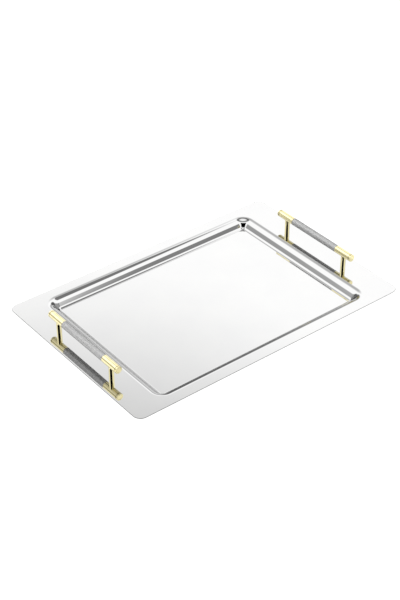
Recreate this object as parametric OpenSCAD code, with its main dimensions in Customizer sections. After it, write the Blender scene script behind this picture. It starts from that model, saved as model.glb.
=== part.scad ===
// Rectangular serving tray pressed from one sheet, with two fixed bar handles on its rim.
// X runs along the long side, Y along the short side and Z up.
// The origin is under the middle of the well's floor, on the surface that the tray stands on.

/* [Tray] */
// Overall length of the rim
tray_l = 600; // [520:10:700]
// Overall width of the rim
tray_w = 400; // [330:10:500]
// Thickness of the sheet
sheet_t = 1; // [0.8:0.1:1.5]
// Radius of the rim's corners, seen from above
rim_corner_r = 16; // [10:1:40]

/* [Well] */
// Width of the flat rim along each short side, where a handle stands
rim_short_w = 58; // [50:1:80]
// Width of the flat rim along each long side
rim_long_w = 21.5; // [15:0.5:40]
// Depth of the well's floor below the rim
well_depth = 16; // [14:0.5:30]
// Radius of the round shoulder from the rim down into the wall
shoulder_r = 18; // [8:1:20]
// Radius of the hollow foot from the wall into the floor
foot_r = 8; // [5:1:12]
// Radius of the flat floor's corners, seen from above
floor_corner_r = 2; // [2:1:20]

/* [Handle bar] */
// Overall length of the bar, over both end caps
bar_l = 205; // [200:1:240]
// Diameter of the bar
bar_d = 14; // [12:0.5:16]
// Length of the knurled grip in the middle of the bar
grip_l = 122; // [90:1:140]
// Height of the gap for the fingers, between the rim and the bar
finger_gap = 22.5; // [20:0.5:40]
// Thickness of an end cap's face disc
cap_t = 3; // [2:0.5:5]
// Width of the groove between an end cap's disc and its sleeve
groove_w = 0.8; // [0.5:0.1:1.5]
// Depth of that groove
groove_depth = 0.9; // [0.5:0.1:1.2]

/* [Handle posts] */
// Distance from the tray's short edge to the handle's axis
handle_inset = 31; // [26:1:36]
// Distance between the axes of a handle's two posts
post_spacing = 160; // [156:1:164]
// Diameter of a post
post_d = 9.5; // [8:0.5:10]

/* [Hardware] */
// Diameter of the rod inside the bar
rod_d = 7; // [6:0.5:8]
// Thread diameter of the rim screws and of the post studs
thread_d = 4; // [3:0.5:4]
// Diameter of a rim screw's head
screw_head_d = 7.6; // [6.5:0.1:8]
// Height of a rim screw's head
screw_head_h = 2.2; // [1.8:0.1:2.6]
// Outside diameter of a washer
washer_d = 9; // [8:0.5:10]
// Thickness of a washer
washer_t = 0.8; // [0.5:0.1:1]

/* [Hidden] */
$fn = 64;

// Clearance all round a part inside its hole
fit_gap = 0.05;
// Clearance hole in the sheet and in the sleeves, over the thread
hole_gap = 0.25;
// Chamfer on the bar's turned edges, and on the hardware
edge_c = 0.3;
// How far a cutting shape runs past the surface it cuts
cut = 1;

// How far the screw reaches into the post, and the depth of its tapped hole
screw_reach = 9;
screw_hole_depth = 12;
// How far the stud reaches into the post and past the bar's axis, and the depth of its tapped hole
stud_reach = 5.5;
stud_past_axis = 3;
stud_hole_depth = 6;
// Hexagon socket of a screw, across its corners, and its depth
socket_d = 2.9;
socket_depth = 1.3;
// Length of an end cap's plug inside its sleeve, and the space left behind it
plug_l = 6;
plug_room = 0.7;

rim_top = sheet_t + well_depth;
// The steepest part of the well's wall rises 4 for every 3 outwards
wall_dir = [0.6, 0.8];
wall_normal = [wall_dir.y, -wall_dir.x];
// Length of that part along its slope, and the whole wall's width seen from above
slope_l = (well_depth - (shoulder_r + foot_r) * (1 - wall_dir.x)) / wall_dir.y;
wall_run = (shoulder_r + foot_r) * wall_dir.y + slope_l * wall_dir.x;
// The well's opening in the rim, and its flat floor
well_l = tray_l - 2 * rim_short_w;
well_w = tray_w - 2 * rim_long_w;
floor_l = well_l - 2 * wall_run;
floor_w = well_w - 2 * wall_run;

handle_x = tray_l / 2 - handle_inset;
post_y = post_spacing / 2;
bar_r = bar_d / 2;
// Height of the bar's axis above the rim
rise = finger_gap + bar_r;

bore_d = rod_d + 2 * fit_gap;
sleeve_l = (bar_l - grip_l) / 2 - cap_t - groove_w;
rod_l = bar_l - 2 * (cap_t + groove_w + plug_l + plug_room);
thread_hole_d = thread_d + 2 * fit_gap;
clear_hole_d = thread_d + 2 * hole_gap;

// ---- Shapes that repeat ----

// Rectangle with rounded corners, about the origin
module rounded_rect(l, w, r) {
    square([l - 2 * r, w], center = true);
    square([l, w - 2 * r], center = true);
    for (sx = [-1, 1], sy = [-1, 1])
        translate([sx * (l / 2 - r), sy * (w / 2 - r)]) circle(r);
}

// Part of a ring about the origin, between two directions that are under 90 degrees apart
module ring_arc(r_in, r_out, dir_a, dir_b) {
    far = 2 * r_out;
    intersection() {
        difference() {
            circle(r_out);
            circle(r_in);
        }
        polygon([[0, 0], far * dir_a, far * dir_b]);
    }
}

// Ring or rod turned about Z, from z = 0 to z = h, with both outer edges chamfered
module turned(h, d_out, d_in = 0) {
    rotate_extrude() polygon([
        [d_in / 2, 0], [d_out / 2 - edge_c, 0], [d_out / 2, edge_c],
        [d_out / 2, h - edge_c], [d_out / 2 - edge_c, h], [d_in / 2, h]
    ]);
}

// Turns what stands along Z so that it lies along Y, with its z = 0 end at y
module along_bar(y) {
    translate([0, y, 0]) rotate([-90, 0, 0]) children();
}

// Puts a handle's piece in its place; a handle's own origin is the middle of its bar
module on_handle(side) {
    translate([side * handle_x, 0, rim_top + rise]) children();
}

// The same for a piece at one end of the handle: end is -1 at the front and 1 at the rear
module on_handle_end(side, end) {
    on_handle(side) rotate(end > 0 ? 0 : 180) children();
}

// ---- Tray ----

// Section through foot, wall and shoulder: x is 0 at the floor's edge and grows outwards
module wall_section() {
    foot_centre = [0, sheet_t + foot_r];
    shoulder_centre = [wall_run, rim_top - shoulder_r];
    slope_foot = foot_centre + foot_r * wall_normal;
    slope_top = slope_foot + slope_l * wall_dir;
    translate(foot_centre) ring_arc(foot_r, foot_r + sheet_t, [0, -1], wall_normal);
    polygon([
        slope_foot, slope_top, slope_top + sheet_t * wall_normal, slope_foot + sheet_t * wall_normal
    ]);
    translate(shoulder_centre) ring_arc(shoulder_r - sheet_t, shoulder_r, -wall_normal, [0, 1]);
}

// Straight stretch of wall on the +Y side, with its foot at y
module wall_straight(y, l) {
    translate([0, y, 0]) rotate([90, 0, 90]) linear_extrude(l, center = true) wall_section();
}

// The well's four walls and its four corners
module well_walls() {
    corner = [floor_l / 2 - floor_corner_r, floor_w / 2 - floor_corner_r];
    for (turn = [0, 180]) {
        rotate(turn) wall_straight(floor_w / 2, 2 * corner.x);
        rotate(turn + 90) wall_straight(floor_l / 2, 2 * corner.y);
    }
    for (quadrant = [0:3])
        translate([
            corner.x * sign(cos(45 + 90 * quadrant)),
            corner.y * sign(sin(45 + 90 * quadrant))
        ])
            rotate(90 * quadrant)
                rotate_extrude(angle = 90) translate([floor_corner_r, 0]) wall_section();
}

// Flat rim, open over the well
module rim_plate() {
    translate([0, 0, rim_top - sheet_t]) linear_extrude(sheet_t) difference() {
        rounded_rect(tray_l, tray_w, rim_corner_r);
        rounded_rect(well_l, well_w, floor_corner_r + wall_run);
    }
}

// Flat floor inside the wall's foot
module floor_plate() {
    linear_extrude(sheet_t) rounded_rect(floor_l, floor_w, floor_corner_r);
}

module tray_body() {
    color("gainsboro") difference() {
        union() {
            rim_plate();
            well_walls();
            floor_plate();
        }
        for (side = [-1, 1], end = [-1, 1])
            translate([side * handle_x, end * post_y, rim_top - sheet_t - cut])
                cylinder(h = sheet_t + 2 * cut, d = clear_hole_d);
    }
}

// ---- Handle, in its own frame ----

module grip() {
    color("darkgray") along_bar(-grip_l / 2) turned(grip_l, bar_d, bore_d);
}

// The rod is cross-drilled for the two studs
module core_rod() {
    color("slategray") difference() {
        along_bar(-rod_l / 2) turned(rod_l, rod_d);
        for (end = [-1, 1])
            translate([0, end * post_y, -rod_d])
                cylinder(h = 2 * rod_d, d = thread_hole_d);
    }
}

// The stud's hole goes through the sleeve's lower wall only
module end_sleeve() {
    color("goldenrod") difference() {
        along_bar(grip_l / 2) turned(sleeve_l, bar_d, bore_d);
        translate([0, post_y, -bar_d]) cylinder(h = bar_d, d = clear_hole_d);
    }
}

// Face disc, groove and plug, turned from one piece; y = 0 of the profile is the outer face
module end_cap() {
    neck_r = bar_r - groove_depth;
    plug_r = rod_d / 2;
    color("gold") translate([0, bar_l / 2, 0]) rotate([90, 0, 0]) rotate_extrude() polygon([
        [0, 0], [bar_r - 2 * edge_c, 0], [bar_r, 2 * edge_c], [bar_r, cap_t],
        [neck_r, cap_t], [neck_r, cap_t + groove_w], [plug_r, cap_t + groove_w],
        [plug_r, cap_t + groove_w + plug_l], [0, cap_t + groove_w + plug_l]
    ]);
}

// Saddled on top to sit under the bar, and tapped at both ends
module post() {
    color("goldenrod") difference() {
        translate([0, post_y, -rise]) cylinder(h = rise, d = post_d);
        along_bar(post_y - post_d) cylinder(h = 2 * post_d, d = bar_d + 2 * fit_gap);
        translate([0, post_y, -rise - cut])
            cylinder(h = screw_hole_depth + cut, d = thread_hole_d);
        translate([0, post_y, -bar_r - stud_hole_depth])
            cylinder(h = stud_hole_depth + bar_r, d = thread_hole_d);
    }
}

module post_stud() {
    color("dimgray") translate([0, post_y, -bar_r - stud_reach])
        turned(stud_reach + bar_r + stud_past_axis, thread_d);
}

module washer() {
    color("silver") translate([0, post_y, -rise - sheet_t - washer_t])
        turned(washer_t, washer_d, clear_hole_d);
}

// Button head below the washer, with a hexagon socket, and a shank up into the post
module rim_screw() {
    shank_l = washer_t + sheet_t + screw_reach;
    color("silver") translate([0, post_y, -rise - sheet_t - washer_t]) difference() {
        union() {
            turned(shank_l, thread_d);
            translate([0, 0, -screw_head_h]) rotate_extrude() polygon([
                [0, 0], [screw_head_d / 4, 0], [screw_head_d / 2, screw_head_h * 0.6],
                [screw_head_d / 2, screw_head_h], [0, screw_head_h]
            ]);
        }
        translate([0, 0, -screw_head_h - cut])
            cylinder(h = socket_depth + cut, d = socket_d, $fn = 6);
    }
}

// ---- Each node in its place: left is -X, right is +X, front is -Y and rear is +Y ----

tray_body();

on_handle(-1) grip();  // left_grip
on_handle(-1) core_rod();  // left_core_rod
on_handle_end(-1, -1) end_sleeve();  // left_front_end_sleeve
on_handle_end(-1, 1) end_sleeve();  // left_rear_end_sleeve
on_handle_end(-1, -1) end_cap();  // left_front_end_cap
on_handle_end(-1, 1) end_cap();  // left_rear_end_cap
on_handle_end(-1, -1) post();  // left_front_post
on_handle_end(-1, 1) post();  // left_rear_post
on_handle_end(-1, -1) post_stud();  // left_front_post_stud
on_handle_end(-1, 1) post_stud();  // left_rear_post_stud
on_handle_end(-1, -1) rim_screw();  // left_front_rim_screw
on_handle_end(-1, 1) rim_screw();  // left_rear_rim_screw
on_handle_end(-1, -1) washer();  // left_front_washer
on_handle_end(-1, 1) washer();  // left_rear_washer

on_handle(1) grip();  // right_grip
on_handle(1) core_rod();  // right_core_rod
on_handle_end(1, -1) end_sleeve();  // right_front_end_sleeve
on_handle_end(1, 1) end_sleeve();  // right_rear_end_sleeve
on_handle_end(1, -1) end_cap();  // right_front_end_cap
on_handle_end(1, 1) end_cap();  // right_rear_end_cap
on_handle_end(1, -1) post();  // right_front_post
on_handle_end(1, 1) post();  // right_rear_post
on_handle_end(1, -1) post_stud();  // right_front_post_stud
on_handle_end(1, 1) post_stud();  // right_rear_post_stud
on_handle_end(1, -1) rim_screw();  // right_front_rim_screw
on_handle_end(1, 1) rim_screw();  // right_rear_rim_screw
on_handle_end(1, -1) washer();  // right_front_washer
on_handle_end(1, 1) washer();  // right_rear_washer
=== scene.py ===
"""Looks of a polished steel serving tray with two bar handles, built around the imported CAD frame."""

import math

import bmesh
import bpy
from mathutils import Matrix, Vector
from mathutils.geometry import delaunay_2d_cdt


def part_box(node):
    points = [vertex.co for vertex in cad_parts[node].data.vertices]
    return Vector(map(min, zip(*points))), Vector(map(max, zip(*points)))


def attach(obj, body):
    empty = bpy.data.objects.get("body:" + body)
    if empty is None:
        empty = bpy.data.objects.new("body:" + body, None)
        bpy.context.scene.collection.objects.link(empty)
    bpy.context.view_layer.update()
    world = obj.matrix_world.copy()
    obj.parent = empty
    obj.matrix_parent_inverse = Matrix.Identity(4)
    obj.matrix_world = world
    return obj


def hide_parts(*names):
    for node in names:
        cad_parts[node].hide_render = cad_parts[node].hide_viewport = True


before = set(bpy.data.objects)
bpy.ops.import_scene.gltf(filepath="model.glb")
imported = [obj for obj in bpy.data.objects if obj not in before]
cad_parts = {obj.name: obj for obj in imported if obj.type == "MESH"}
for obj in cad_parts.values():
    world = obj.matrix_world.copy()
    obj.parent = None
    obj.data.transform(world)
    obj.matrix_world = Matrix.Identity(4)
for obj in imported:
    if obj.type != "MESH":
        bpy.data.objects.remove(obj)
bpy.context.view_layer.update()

# ---- Sizes, in metres: what the boxes of the CAD nodes don't say ----

MM = 0.001

SHEET = 1 * MM
EDGE_R = 0.45 * MM            # the sheet's cut edge is rounded over, above and below
RIM_CORNER = 16 * MM
RIM_SHORT = 58 * MM           # width of the rim on the short sides
RIM_LONG = 21.5 * MM          # and on the long sides
SHOULDER_R = 18 * MM
FOOT_R = 8 * MM
FLOOR_CORNER = 2 * MM
WALL_SLOPE = math.atan2(4, 3)
SCREW_HOLE_D = 4.5 * MM

BORE_GAP = 0.05 * MM          # between the core rod and what it runs through
SLEEVE_ROUNDING = 0.35 * MM
GROOVE_W = 0.8 * MM           # groove between each end sleeve and its cap's disc
GROOVE_DEPTH = 0.9 * MM
SHANK_ROUNDING = 0.3 * MM
DISC_BACK_ROUNDING = 0.25 * MM
DISC_FACE_ROUNDING = 0.7 * MM
FACE_RING_AT = 0.62           # the ring's inner radius on the cap's face, as a share of the cap's radius
FACE_RING_W = 0.5 * MM
FACE_RING_DEPTH = 0.2 * MM
FACE_RING_ROUNDING = 0.12 * MM

KNURL_ROUND = 38              # diamonds round the grip
KNURL_LENGTH = 1.5 * MM       # length of a diamond along the grip
KNURL_DEPTH = 0.06 * MM
GRIP_BAND = 1.6 * MM          # plain turned band at each end of the grip
BAND_DROP = 0.05 * MM         # the band lies this far under the knurl's crests
BAND_RAMP = 0.15 * MM         # each of two short steps between knurl and band
BAND_CHAMFER = 0.3 * MM

SHANK_R = 2 * MM
SHANK_CHAMFER = 0.4 * MM
SOCKET_R = 1.45 * MM          # out to the corners of the hexagon
SOCKET_DEPTH = 1.3 * MM
SOCKET_CHAMFER = 0.05 * MM
SOCKET_LIP = 0.35 * MM
DOME_SHARE = 0.75             # domed share of the head's height

CORNER_STEPS = 20             # mesh steps round each corner of the tray
ARC_STEPS = 16                # mesh steps across shoulder and foot
EDGE_STEPS = 5                # mesh steps over each half of the rim's edge
HOLE_STEPS = 32
TURN_STEPS = 96               # mesh steps round the brass pieces
ROUNDING_STEPS = 4
SCREW_STEPS = 48
DOME_STEPS = 8

TRAY_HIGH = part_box("tray_body")[1]
RIM_TOP = TRAY_HIGH.z
HALF_L, HALF_W = TRAY_HIGH.x, TRAY_HIGH.y

SIDES = ("left", "right")
ENDS = {"front": -1, "rear": 1}     # and the sign of Y there


def centre_of(node):
    """Middle of a CAD node's box."""
    low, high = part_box(node)
    return (low + high) / 2


def size_of(node):
    """Size of a CAD node's box."""
    low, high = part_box(node)
    return high - low


# ---- Materials ----

STEEL_A, STEEL_B = (0.52, 0.52, 0.52), (0.53, 0.53, 0.527)
BRASS_A, BRASS_B = (0.85, 0.78, 0.465), (0.81, 0.72, 0.41)
# the knurl's groove colour is painted shade; the crest colour is worn steel
GRIP_GROOVE_SHADE, GRIP_CREST = (0.46, 0.46, 0.46), (0.61, 0.61, 0.605)
GRIP_EDGE_TINT = (0.05, 0.05, 0.05)     # a knurl has little gloss where it is seen edge-on
# painted shade: the dark brass in each end cap's groove
GROOVE_SHADE_DARK, GROOVE_SHADE_LIGHT = (0.10, 0.08, 0.03), (0.16, 0.13, 0.05)
# painted shade and painted reflection: the near-black cut edge stands in for the dark surroundings its
# rounding would mirror
CUT_SHADE_DARK, CUT_SHADE_LIGHT = (0.05, 0.05, 0.05), (0.09, 0.09, 0.09)
SCREW_DARK, SCREW_LIGHT = (0.50, 0.50, 0.51), (0.66, 0.66, 0.66)
HIDDEN_DARK, HIDDEN_LIGHT = (0.36, 0.37, 0.39), (0.50, 0.51, 0.53)

CORE_OF_NOISE = (0.35, 0.65)            # ranges that most of a noise's values lie in
MOST_OF_NOISE = (0.3, 0.7)
WHOLE = (0, 1)


def new_material(name, metallic=1.0):
    """A Principled material; returns the material, its node tree and its shader."""
    material = bpy.data.materials.new(name)
    material.use_nodes = True
    tree = material.node_tree
    shader = tree.nodes["Principled BSDF"]
    shader.inputs["Metallic"].default_value = metallic
    return material, tree, shader


def add_node(tree, kind, **settings):
    """A new shader node of one kind, with its settings."""
    node = tree.nodes.new("ShaderNode" + kind)
    for key, value in settings.items():
        setattr(node, key, value)
    return node


def set_ranges(node, source, target):
    """Sets what a Map Range node maps from and to."""
    for socket, number in zip(("From Min", "From Max", "To Min", "To Max"), (*source, *target)):
        node.inputs[socket].default_value = number


def stretched_noise(tree, scale, stretch=(1, 1, 1), detail=2):
    """Noise over object coordinates, drawn out along the axes whose stretch is small."""
    coords = add_node(tree, "TexCoord")
    mapping = add_node(tree, "Mapping")
    mapping.inputs["Scale"].default_value = stretch
    noise = add_node(tree, "TexNoise")
    noise.inputs["Scale"].default_value = scale
    noise.inputs["Detail"].default_value = detail
    tree.links.new(coords.outputs["Object"], mapping.inputs["Vector"])
    tree.links.new(mapping.outputs["Vector"], noise.inputs["Vector"])
    return noise.outputs["Fac"]


def remap(tree, value, source, target):
    """Value from the range source, clamped, to the range target."""
    node = add_node(tree, "MapRange")
    tree.links.new(value, node.inputs["Value"])
    set_ranges(node, source, target)
    return node.outputs["Result"]


def blend_colours(tree, factor, colour_a, colour_b):
    """Colour between two, by factor."""
    node = add_node(tree, "Mix", data_type="RGBA")
    node.inputs["A"].default_value = (*colour_a, 1)
    node.inputs["B"].default_value = (*colour_b, 1)
    tree.links.new(factor, node.inputs["Factor"])
    return node.outputs["Result"]


def bump(tree, height, distance, below=None):
    """Normal bumped by a height, on top of another bump."""
    node = add_node(tree, "Bump")
    node.inputs["Strength"].default_value = 1
    node.inputs["Distance"].default_value = distance
    tree.links.new(height, node.inputs["Height"])
    if below is not None:
        tree.links.new(below, node.inputs["Normal"])
    return node.outputs["Normal"]


def polished_steel():
    """Mirror finish: faint clouds, fine polishing lines along X and the slow waves of a pressed sheet."""
    material, tree, shader = new_material("polished_steel")
    clouds = stretched_noise(tree, scale=14, detail=3)
    lines = stretched_noise(tree, scale=900, stretch=(0.05, 1, 1))
    waves = stretched_noise(tree, scale=7, detail=0)
    colour = blend_colours(tree, remap(tree, clouds, CORE_OF_NOISE, WHOLE), STEEL_A, STEEL_B)
    roughness = remap(tree, lines, MOST_OF_NOISE, (0.015, 0.05))
    normal = bump(tree, waves, distance=0.09 * MM)
    normal = bump(tree, lines, distance=0.0002 * MM, below=normal)
    tree.links.new(colour, shader.inputs["Base Color"])
    tree.links.new(roughness, shader.inputs["Roughness"])
    tree.links.new(normal, shader.inputs["Normal"])
    return material


def polished_brass(name, turned_along):
    """Bright brass with fine lathe rings, turned about axis 1 (Y, the bars) or 2 (Z, the posts)."""
    material, tree, shader = new_material(name)
    stretch = [0.04, 0.04, 0.04]
    stretch[turned_along] = 1
    rings = stretched_noise(tree, scale=2600, stretch=stretch)
    clouds = stretched_noise(tree, scale=120)
    colour = blend_colours(tree, remap(tree, clouds, CORE_OF_NOISE, WHOLE), BRASS_A, BRASS_B)
    tree.links.new(colour, shader.inputs["Base Color"])
    tree.links.new(remap(tree, rings, MOST_OF_NOISE, (0.01, 0.045)), shader.inputs["Roughness"])
    tree.links.new(bump(tree, rings, distance=0.0002 * MM), shader.inputs["Normal"])
    return material


def knurled_steel():
    """Satin knurl: the crests are worn brighter and smoother, and the grooves between them are painted
    darker as shade.
    """
    material, tree, shader = new_material("knurled_steel")
    shader.inputs["Specular Tint"].default_value = (*GRIP_EDGE_TINT, 1)
    crest = add_node(tree, "Attribute", attribute_name="crest").outputs["Fac"]
    grain = stretched_noise(tree, scale=1800, detail=3)
    grain_share = 0.2
    wear_and_shade = add_node(tree, "Math", operation="MULTIPLY_ADD")
    tree.links.new(crest, wear_and_shade.inputs[0])
    wear_and_shade.inputs[1].default_value = 1 - grain_share
    tree.links.new(remap(tree, grain, MOST_OF_NOISE, (0, grain_share)), wear_and_shade.inputs[2])
    # painted shade in the grooves, and wear on the crests: the crests are coloured lighter than the grooves
    colour = blend_colours(tree, wear_and_shade.outputs[0], GRIP_GROOVE_SHADE, GRIP_CREST)
    tree.links.new(colour, shader.inputs["Base Color"])
    tree.links.new(remap(tree, wear_and_shade.outputs[0], WHOLE, (0.52, 0.42)), shader.inputs["Roughness"])
    tree.links.new(bump(tree, grain, distance=0.002 * MM), shader.inputs["Normal"])
    return material


def machined_metal(name, dark, light, roughness):
    """Plain machined metal with fine marks, for hardware; in dark colours it also gives the painted shade in
    the cap grooves and on the tray's cut edge.
    """
    material, tree, shader = new_material(name)
    marks = stretched_noise(tree, scale=3000, stretch=(0.05, 0.05, 1))
    clouds = stretched_noise(tree, scale=300)
    colour = blend_colours(tree, remap(tree, clouds, MOST_OF_NOISE, WHOLE), dark, light)
    tree.links.new(colour, shader.inputs["Base Color"])
    tree.links.new(remap(tree, marks, MOST_OF_NOISE, roughness), shader.inputs["Roughness"])
    tree.links.new(bump(tree, marks, distance=0.002 * MM), shader.inputs["Normal"])
    return material


STEEL = polished_steel()
BRASS_BAR = polished_brass("polished_brass_bar", 1)
BRASS_POST = polished_brass("polished_brass_post", 2)
KNURL = knurled_steel()
# painted shade for the grooves of the end caps
BRASS_GROOVE_SHADE = machined_metal("groove_painted_shade", GROOVE_SHADE_DARK, GROOVE_SHADE_LIGHT, roughness=(0.4, 0.6))
# painted shade on the cut edge: the colour is near black, and the roughness is that of an unpolished sheared
# edge
CUT_EDGE_SHADE = machined_metal("cut_edge_painted_shade", CUT_SHADE_DARK, CUT_SHADE_LIGHT, roughness=(0.35, 0.5))
SCREW_STEEL = machined_metal("screw_steel", SCREW_DARK, SCREW_LIGHT, roughness=(0.22, 0.38))
HIDDEN_STEEL = machined_metal("hidden_steel", HIDDEN_DARK, HIDDEN_LIGHT, roughness=(0.30, 0.45))


# ---- Mesh helpers ----

def weld(mesh):
    """Joins vertices that lie on each other and makes the faces point outwards."""
    work = bmesh.new()
    work.from_mesh(mesh)
    bmesh.ops.remove_doubles(work, verts=work.verts, dist=1e-7)
    bmesh.ops.recalc_face_normals(work, faces=work.faces)
    work.to_mesh(mesh)
    work.free()


def make_piece(name, points, faces, material, stands_for, smooth_angle=30, crests=None):
    """A mesh piece that rides on the body, replaces CAD nodes and takes its finish from a slot."""
    mesh = bpy.data.meshes.new(name)
    mesh.from_pydata([tuple(p) for p in points], [], faces)
    if crests:
        mesh.attributes.new("crest", "FLOAT", "POINT").data.foreach_set("value", crests)
    weld(mesh)
    mesh.polygons.foreach_set("use_smooth", [True] * len(mesh.polygons))
    mesh.set_sharp_from_angle(angle=math.radians(smooth_angle))
    mesh.materials.append(material)
    piece = bpy.data.objects.new(name, mesh)
    bpy.context.scene.collection.objects.link(piece)
    normals = piece.modifiers.new("flat_faces_stay_flat", "WEIGHTED_NORMAL")
    normals.weight = 100
    normals.keep_sharp = True
    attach(piece, "root")
    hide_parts(*stands_for)
    return piece


def strip_faces(first, second, count, flip=False):
    """Quads between two closed loops of vertices that start at these indices."""
    faces = []
    for k in range(count):
        following = (k + 1) % count
        quad = (first + k, first + following, second + following, second + k)
        faces.append(quad[::-1] if flip else quad)
    return faces


def arc(centre, radius, start, end, steps):
    """Points (x, z) along an arc; angles in radians."""
    angles = [start + (end - start) * k / steps for k in range(steps + 1)]
    return [(centre[0] + radius * math.cos(a), centre[1] + radius * math.sin(a)) for a in angles]


def circle(centre, radius, steps):
    """Points (x, y) round a circle."""
    angles = [2 * math.pi * k / steps for k in range(steps)]
    return [(centre.x + radius * math.cos(a), centre.y + radius * math.sin(a)) for a in angles]


# ---- Tray ----

LOOP_COUNT = 4 * (CORNER_STEPS + 1)     # vertices in each loop round the tray
CHORD_MARGIN = 0.999                    # a chord's middle lies a little inside its circle


def rounded_loop(half_x, half_y, radius):
    """Points (x, y) of a rounded rectangle, anticlockwise from +X."""
    points = []
    for quadrant in range(4):
        sx = 1 if quadrant in (0, 3) else -1
        sy = 1 if quadrant in (0, 1) else -1
        for k in range(CORNER_STEPS + 1):
            angle = math.pi / 2 * (quadrant + k / CORNER_STEPS)
            points.append((
                sx * (half_x - radius) + radius * math.cos(angle),
                sy * (half_y - radius) + radius * math.sin(angle)))
    return points


def add_loop(points, outline, z):
    """Adds an outline (x, y) at height z to the points, and returns the index of its first one."""
    start = len(points)
    points.extend((x, y, z) for x, y in outline)
    return start


def wall_width():
    """Width of the sloping wall seen from above."""
    both = SHOULDER_R + FOOT_R
    straight = (RIM_TOP - SHEET - both * (1 - math.cos(WALL_SLOPE))) / math.sin(WALL_SLOPE)
    return both * math.sin(WALL_SLOPE) + straight * math.cos(WALL_SLOPE)


WALL_RUN = wall_width()
FLOOR_X, FLOOR_Y = HALF_L - RIM_SHORT - WALL_RUN, HALF_W - RIM_LONG - WALL_RUN
MOUTH_X, MOUTH_Y, MOUTH_CORNER = FLOOR_X + WALL_RUN, FLOOR_Y + WALL_RUN, FLOOR_CORNER + WALL_RUN


def wall_profile(drop):
    """Section (x, z) from the floor's edge up to the rim, on the face that lies drop under the top face."""
    foot = arc((0, SHEET + FOOT_R), FOOT_R + drop, -math.pi / 2, WALL_SLOPE - math.pi / 2, ARC_STEPS)
    shoulder = arc(
        (WALL_RUN, RIM_TOP - SHOULDER_R), SHOULDER_R - drop,
        math.pi / 2 + WALL_SLOPE, math.pi / 2, ARC_STEPS)
    return foot + shoulder


def edge_profile():
    """Section (x, z) of the rim's rounded edge, from its upper face round to its lower face."""
    upper = arc((-EDGE_R, RIM_TOP - EDGE_R), EDGE_R, math.pi / 2, 0, EDGE_STEPS)
    lower = arc((-EDGE_R, RIM_TOP - SHEET + EDGE_R), EDGE_R, 0, -math.pi / 2, EDGE_STEPS)
    return upper + lower


def screw_places():
    """Centres (x, y) of the four screw holes in the rim."""
    return [centre_of(f"{side}_{end}_post").xy for side in SIDES for end in ENDS]


def in_mouth(point):
    """True where the rim's flat face is open for the well."""
    x, y = abs(point.x), abs(point.y)
    past_x, past_y = x - (MOUTH_X - MOUTH_CORNER), y - (MOUTH_Y - MOUTH_CORNER)
    past_both = past_x > 0 and past_y > 0
    outside_arc = past_both and math.hypot(past_x, past_y) > MOUTH_CORNER * CHORD_MARGIN
    return x < MOUTH_X and y < MOUTH_Y and not outside_arc


def in_screw_hole(point):
    """True where the rim's flat face is open for a screw."""
    return any((point - place).length <= SCREW_HOLE_D / 2 * CHORD_MARGIN for place in screw_places())


def rim_triangles(loops):
    """Triangles of the rim's flat face, by the vertices of its loops: outline, mouth and holes."""
    points = [Vector(p) for loop in loops for p in loop]
    edges = []
    for loop in loops:
        start = len(edges)
        edges += [(start + k, start + (k + 1) % len(loop)) for k in range(len(loop))]
    found = delaunay_2d_cdt(points, edges, [], 0, 1e-9)
    found_points, triangles = found[0], found[2]
    kept = []
    for triangle in triangles:
        middle = sum((found_points[i] for i in triangle), Vector((0, 0))) / len(triangle)
        if not in_mouth(middle) and not in_screw_hole(middle):
            kept.append(triangle)
    return kept


def add_well(points, faces, upper):
    """Adds the floor and walls on the upper or the lower face; returns the loop at the rim."""
    loops = [
        add_loop(points, rounded_loop(FLOOR_X + x, FLOOR_Y + x, FLOOR_CORNER + x), z)
        for x, z in wall_profile(0 if upper else SHEET)]
    floor = tuple(range(loops[0], loops[0] + LOOP_COUNT))
    faces.append(floor if upper else floor[::-1])
    for low, high in zip(loops, loops[1:]):
        faces.extend(strip_faces(low, high, LOOP_COUNT, flip=upper))
    return loops[-1]


def build_tray():
    """The pressed sheet: floor, sloping walls and rim, with a rounded cut edge and four screw holes."""
    points, faces = [], []
    mouth_loops = {upper: add_well(points, faces, upper) for upper in (True, False)}

    edge_loops = [
        add_loop(points, rounded_loop(HALF_L + x, HALF_W + x, RIM_CORNER + x), z)
        for x, z in edge_profile()]
    outer_loops = {True: edge_loops[0], False: edge_loops[-1]}
    first_edge_face = len(faces)
    for above, below in zip(edge_loops, edge_loops[1:]):
        faces.extend(strip_faces(above, below, LOOP_COUNT, flip=True))
    last_edge_face = len(faces)

    heights = {True: RIM_TOP, False: RIM_TOP - SHEET}
    holes = [circle(place, SCREW_HOLE_D / 2, HOLE_STEPS) for place in screw_places()]
    hole_loops = {
        upper: [add_loop(points, hole, heights[upper]) for hole in holes] for upper in (True, False)}
    for top, bottom in zip(hole_loops[True], hole_loops[False]):
        faces.extend(strip_faces(top, bottom, HOLE_STEPS))

    outline = rounded_loop(HALF_L - EDGE_R, HALF_W - EDGE_R, RIM_CORNER - EDGE_R)
    mouth = rounded_loop(MOUTH_X, MOUTH_Y, MOUTH_CORNER)
    triangles = rim_triangles([outline, mouth, *holes])
    for upper in (True, False):
        index = list(range(outer_loops[upper], outer_loops[upper] + LOOP_COUNT))
        index += range(mouth_loops[upper], mouth_loops[upper] + LOOP_COUNT)
        for start in hole_loops[upper]:
            index += range(start, start + HOLE_STEPS)
        for corners in triangles:
            triangle = tuple(index[i] for i in corners)
            faces.append(triangle if upper else triangle[::-1])

    tray = make_piece("tray", points, faces, STEEL, ["tray_body"], smooth_angle=25)
    # the rounded cut edge takes the painted-shade material
    tray.data.materials.append(CUT_EDGE_SHADE)
    for polygon in tray.data.polygons[first_edge_face:last_edge_face]:
        polygon.material_index = 1


# ---- Turned pieces ----

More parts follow.
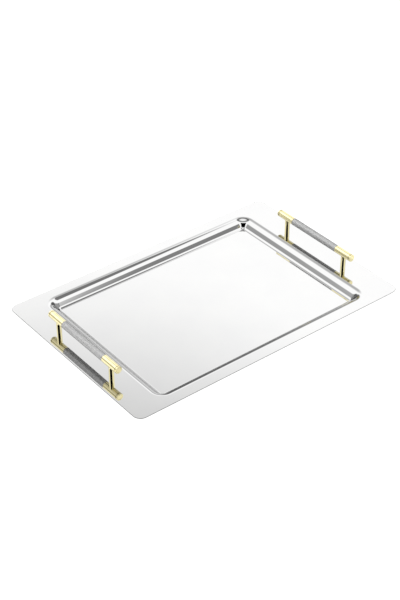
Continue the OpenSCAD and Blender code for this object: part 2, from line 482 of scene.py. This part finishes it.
def rounded_profile(corners):
    """Profile (radius, along) through corners (radius, along, rounding), curved at rounded corners."""
    profile = []
    for k, (radius, along, rounding) in enumerate(corners):
        here = Vector((radius, along))
        if rounding == 0:
            profile.append(here)
            continue
        before = Vector(corners[k - 1][:2]) - here
        after = Vector(corners[k + 1][:2]) - here
        start = here + before.normalized() * rounding
        end = here + after.normalized() * rounding
        for step in range(ROUNDING_STEPS + 1):
            t = step / ROUNDING_STEPS
            profile.append(start * (1 - t) ** 2 + here * 2 * t * (1 - t) + end * t ** 2)
    return profile


def turn(profile, place):
    """Points and faces of a profile (radius, along) turned about a line that place puts in 3-D."""
    points, faces, rings = [], [], []
    for radius, along in profile:
        if radius < 1e-9:
            rings.append([len(points)])
            points.append(place(0, 0, along))
            continue
        rings.append(list(range(len(points), len(points) + TURN_STEPS)))
        for k in range(TURN_STEPS):
            angle = 2 * math.pi * k / TURN_STEPS
            points.append(place(radius * math.cos(angle), radius * math.sin(angle), along))
    for ring, following in zip(rings, rings[1:]):
        for k in range(TURN_STEPS):
            a, b = ring[k % len(ring)], ring[(k + 1) % len(ring)]
            c, d = following[(k + 1) % len(following)], following[k % len(following)]
            face = tuple(dict.fromkeys((a, b, c, d)))
            if len(face) > 2:
                faces.append(face)
    return points, faces


def bar_frame(side, end):
    """Placer for pieces turned about a bar's axis: along runs outwards from the handle's middle."""
    axis = centre_of(f"{side}_grip")
    return lambda u, v, along: (axis.x + u, ENDS[end] * along, axis.z + v)


def span_along_bar(node):
    """Distances from the handle's middle to a node's near and far end."""
    low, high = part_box(node)
    return sorted((abs(low.y), abs(high.y)))


def build_end_sleeve(side, end):
    """Brass tube between the grip and the end cap."""
    node = f"{side}_{end}_end_sleeve"
    near, far = span_along_bar(node)
    radius = size_of(node).x / 2
    bore = size_of(f"{side}_core_rod").x / 2 + BORE_GAP
    profile = rounded_profile([
        (bore, near, 0), (radius, near, SLEEVE_ROUNDING), (radius, far, SLEEVE_ROUNDING),
        (bore, far, 0), (bore, near, 0)])
    points, faces = turn(profile, bar_frame(side, end))
    make_piece(f"{side}_{end}_sleeve", points, faces, BRASS_BAR, [node])


def build_end_cap(side, end):
    """Brass plug: a face disc with a rounded rim and a shallow ring, a groove behind it, and its shank."""
    node = f"{side}_{end}_end_cap"
    near, far = span_along_bar(node)
    radius = size_of(node).x / 2
    shank = size_of(f"{side}_core_rod").x / 2
    groove_floor = radius - GROOVE_DEPTH
    sleeve_end = max(abs(c.y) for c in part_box(f"{side}_{end}_end_sleeve"))
    disc_back = sleeve_end + GROOVE_W
    ring_in = radius * FACE_RING_AT
    profile = rounded_profile([
        (0, near, 0),
        (shank, near, SHANK_ROUNDING),
        (shank, sleeve_end, 0),
        (groove_floor, sleeve_end, 0),
        (groove_floor, disc_back, 0),
        (radius, disc_back, DISC_BACK_ROUNDING),
        (radius, far, DISC_FACE_ROUNDING),
        (ring_in + FACE_RING_W, far, FACE_RING_ROUNDING),
        (ring_in + FACE_RING_W / 2, far - FACE_RING_DEPTH, FACE_RING_ROUNDING),
        (ring_in, far, FACE_RING_ROUNDING),
        (0, far, 0)])
    points, faces = turn(profile, bar_frame(side, end))
    cap = make_piece(f"{side}_{end}_cap", points, faces, BRASS_BAR, [node])
    # the groove between the sleeve and the disc gets painted shade
    paint_groove_shade(cap, centre_of(node), radius - GROOVE_DEPTH / 4, sleeve_end, disc_back)


def paint_groove_shade(cap, axis, within, start, end):
    """Painted shade: dark brass on the faces nearer to the axis than within, from start to end along the
    bar.
    """
    cap.data.materials.append(BRASS_GROOVE_SHADE)
    margin = 0.01 * MM
    for polygon in cap.data.polygons:
        middle = polygon.center
        from_axis = math.hypot(middle.x - axis.x, middle.z - axis.z)
        if start + margin < abs(middle.y) < end + margin and from_axis < within:
            polygon.material_index = 1


def build_grip(side):
    """Knurled steel tube: pyramids between two sets of crossing grooves, and a plain band at each end."""
    node = f"{side}_grip"
    low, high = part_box(node)
    axis = centre_of(node)
    radius = size_of(node).x / 2
    groove_r, band_r = radius - KNURL_DEPTH, radius - BAND_DROP
    bore = size_of(f"{side}_core_rod").x / 2 + BORE_GAP
    across = 2 * KNURL_ROUND
    start_y, end_y = low.y + GRIP_BAND, high.y - GRIP_BAND
    rows = 2 * round((end_y - start_y) / KNURL_LENGTH)
    points, faces, crests = [], [], []

    def add_ring(y, radii):
        start = len(points)
        for k in range(across):
            angle = 2 * math.pi * k / across
            r = radii[k % 2]
            points.append((axis.x + r * math.cos(angle), y, axis.z + r * math.sin(angle)))
            crests.append(1.0 if r > (groove_r + radius) / 2 else 0.0)
        return start

    radii_by_row = ((groove_r, radius), (radius, groove_r))
    rings = [
        add_ring(start_y + (end_y - start_y) * j / rows, radii_by_row[j % 2]) for j in range(rows + 1)]
    for j in range(rows):
        for k in range(across):
            a, b = rings[j] + k, rings[j] + (k + 1) % across
            c, d = rings[j + 1] + (k + 1) % across, rings[j + 1] + k
            if (j + k) % 2 == 0:      # a and c are in the grooves
                faces += [(a, b, c), (a, c, d)]
            else:
                faces += [(a, b, d), (b, c, d)]

    bore_rings = []
    for sign, knurl_end, tip, previous in ((-1, start_y, low.y, rings[0]), (1, end_y, high.y, rings[-1])):
        band = [
            (knurl_end + sign * BAND_RAMP, groove_r), (knurl_end + 2 * sign * BAND_RAMP, band_r),
            (tip - sign * BAND_CHAMFER, band_r), (tip, band_r - BAND_CHAMFER), (tip, bore)]
        for y, r in band:
            ring = add_ring(y, (r, r))
            faces += strip_faces(previous, ring, across)
            previous = ring
        bore_rings.append(previous)
    faces += strip_faces(*bore_rings, across)
    make_piece(
        f"{side}_knurled_grip", points, faces, KNURL, [node], smooth_angle=8, crests=crests)


# ---- Screws ----

def hexagon_radius(angle):
    """Distance from the middle of the socket's hexagon to its side, in a direction."""
    from_flat = (angle + math.pi / 6) % (math.pi / 3) - math.pi / 6
    return SOCKET_R * math.cos(math.pi / 6) / math.cos(from_flat)


def build_screw(side, end):
    """Domed button head with a hexagon socket under the washer, and the shank above it."""
    node = f"{side}_{end}_rim_screw"
    low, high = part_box(node)
    middle, length = (low + high) / 2, high.z - low.z
    washer_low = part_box(f"{side}_{end}_washer")[0].z
    head_r, head_h = (high.x - low.x) / 2, washer_low - low.z
    lip_r = SOCKET_R + SOCKET_LIP
    rings = [(hexagon_radius, SOCKET_DEPTH), (hexagon_radius, SOCKET_CHAMFER)]
    for step in range(DOME_STEPS + 1):
        angle = math.pi / 2 * step / DOME_STEPS
        radius = lip_r + (head_r - lip_r) * math.sin(angle)
        rings.append((radius, head_h * DOME_SHARE * (1 - math.cos(angle))))
    rings += [
        (head_r, head_h), (SHANK_R, head_h), (SHANK_R, length - SHANK_CHAMFER),
        (SHANK_R - SHANK_CHAMFER, length)]
    points, faces = [], []
    for radius, z in rings:
        for k in range(SCREW_STEPS):
            angle = 2 * math.pi * k / SCREW_STEPS
            r = radius(angle) if callable(radius) else radius
            points.append((middle.x + r * math.cos(angle), middle.y + r * math.sin(angle), low.z + z))
    last = (len(rings) - 1) * SCREW_STEPS
    for start in range(0, last, SCREW_STEPS):
        faces += strip_faces(start, start + SCREW_STEPS, SCREW_STEPS)
    faces.append(tuple(range(SCREW_STEPS))[::-1])
    faces.append(tuple(range(last, last + SCREW_STEPS)))
    make_piece(f"{side}_{end}_screw", points, faces, SCREW_STEEL, [node])


# ---- CAD nodes whose shape is right as it is ----

def finish_cad_nodes():
    """Materials for posts, washers, core rods and studs."""
    kinds = {
        "_post": BRASS_POST, "_washer": SCREW_STEEL, "_core_rod": HIDDEN_STEEL, "_post_stud": HIDDEN_STEEL}
    for name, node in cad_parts.items():
        for ending, material in kinds.items():
            if name.endswith(ending):
                for material_slot in node.material_slots:
                    material_slot.material = material


# ---- Floor ----

FLOOR_HALF = 9
FLOOR_COLOUR = (0.35, 0.35, 0.35, 1)
FLOOR_ROUGHNESS = 0.9
FLOOR_GLOW = 0.92             # the floor glows, so that it stays white under the tray too


def build_floor():
    """Plain pale floor; a view from under about 16 degrees of elevation sees past its far edge."""
    mesh = bpy.data.meshes.new("floor")
    corners = [(-1, -1), (1, -1), (1, 1), (-1, 1)]
    mesh.from_pydata([(FLOOR_HALF * x, FLOOR_HALF * y, 0) for x, y in corners], [], [(0, 1, 2, 3)])
    floor = bpy.data.objects.new("floor", mesh)
    bpy.context.scene.collection.objects.link(floor)
    material, _, shader = new_material("floor", metallic=0.0)
    shader.inputs["Base Color"].default_value = FLOOR_COLOUR
    shader.inputs["Roughness"].default_value = FLOOR_ROUGHNESS
    shader.inputs["Emission Color"].default_value = (1, 1, 1, 1)
    shader.inputs["Emission Strength"].default_value = FLOOR_GLOW
    mesh.materials.append(material)


# ---- Studio: light by direction only, which the polished faces mirror ----

STUDIO_LIGHT = 1.85


def direction(azimuth, elevation):
    """Unit vector towards a place in the studio; azimuth 0 is at -Y and 90 at +X."""
    a, e = math.radians(azimuth), math.radians(elevation)
    return Vector((math.sin(a) * math.cos(e), -math.cos(a) * math.cos(e), math.sin(e)))


UP = direction(0, 90)

# Dark patches on the horizon: azimuth, elevation, radius of the dark part and of its soft edge, light left
DARK_PATCHES = (
    (34, 12, 17, 21, 0.22),             # the slope of the rear wall mirrors this one
    (106, 22, 13, 20, 0.1),             # the curves of the rear left corner
    (160, 10, 12, 22, 0.1),             # the curves of the front wall
    (-172, 14, 10, 20, 0.08))           # the curves of the front right corner


def build_studio():
    """Bright walls over a dimmer horizon, a dim ring round a lit ceiling, and a dark strip by the camera."""
    world = bpy.data.worlds.new("studio")
    bpy.context.scene.world = world
    world.use_nodes = True
    tree = world.node_tree
    coords = add_node(tree, "TexCoord")

    def fade(towards, start, end, from_value, to_value):
        """from_value up to start degrees from a direction, then smoothly to to_value at end degrees."""
        dot = add_node(tree, "VectorMath", operation="DOT_PRODUCT")
        dot.inputs[1].default_value = towards
        tree.links.new(coords.outputs["Generated"], dot.inputs[0])
        node = add_node(tree, "MapRange", interpolation_type="SMOOTHSTEP")
        tree.links.new(dot.outputs["Value"], node.inputs["Value"])
        cosines = (math.cos(math.radians(end)), math.cos(math.radians(start)))
        set_ranges(node, cosines, (to_value, from_value))
        return node.outputs["Result"]

    def combine(operation, *values):
        """Value of a math operation over two or more values."""
        result = values[0]
        for value in values[1:]:
            node = add_node(tree, "Math", operation=operation)
            tree.links.new(result, node.inputs[0])
            tree.links.new(value, node.inputs[1])
            result = node.outputs[0]
        return result

    horizon = fade(UP, 59, 68, 1.0, 0.32)
    lighter_horizon = fade(direction(128, 2), 14, 24, 0.6, 0.0)
    patches = [
        fade(direction(azimuth, elevation), inner, outer, left, 1.0)
        for azimuth, elevation, inner, outer, left in DARK_PATCHES]
    walls = combine("MINIMUM", combine("MAXIMUM", horizon, lighter_horizon), *patches)
    dim_far_wall = fade(direction(152, 55), 6, 22, 0.45, 1.0)
    dim_overhead = fade(UP, 30.6, 33.6, 0.18, 1.0)
    ceiling = fade(UP, 10, 24, 0.7, 0.0)
    room = combine("ADD", combine("MULTIPLY", walls, dim_far_wall, dim_overhead), ceiling)

    dark_room = fade(direction(-50, 46), 33, 40, 0.0, 1.0)
    over_dark_room = fade(UP, 40, 44, 1.0, 0.0)
    under_dark_room = fade(UP, 57, 60, 0.0, 1.0)
    light = combine("MULTIPLY", room, combine("MAXIMUM", dark_room, over_dark_room, under_dark_room))

    strength = add_node(tree, "Math", operation="MULTIPLY")
    tree.links.new(light, strength.inputs[0])
    strength.inputs[1].default_value = STUDIO_LIGHT
    tree.links.new(strength.outputs[0], tree.nodes["Background"].inputs["Strength"])
    tree.nodes["Background"].inputs["Color"].default_value = (1, 1, 1, 1)


# ---- Camera ----

CAMERA_AZIMUTH, CAMERA_ELEVATION = -38.37, 35.98
CAMERA_TARGET = Vector((-0.0116, 0.00245, 0.017))
CAMERA_DISTANCE = 2.5379
CAMERA_LENS = 82.935


def build_camera():
    """Camera at the picture's angle, level, with no shift."""
    camera = bpy.data.objects.new("camera", bpy.data.cameras.new("camera"))
    bpy.context.scene.collection.objects.link(camera)
    back = direction(CAMERA_AZIMUTH, CAMERA_ELEVATION)
    camera.location = CAMERA_TARGET + back * CAMERA_DISTANCE
    camera.rotation_mode = "QUATERNION"
    camera.rotation_quaternion = (-back).to_track_quat("-Z", "Y")
    camera.data.lens = CAMERA_LENS
    bpy.context.scene.camera = camera


# ---- The whole scene ----

build_tray()
for side_name in SIDES:
    build_grip(side_name)
    for end_name in ENDS:
        build_end_sleeve(side_name, end_name)
        build_end_cap(side_name, end_name)
        build_screw(side_name, end_name)
finish_cad_nodes()
build_floor()
build_studio()
build_camera()
bpy.context.scene.view_settings.view_transform = "Standard"
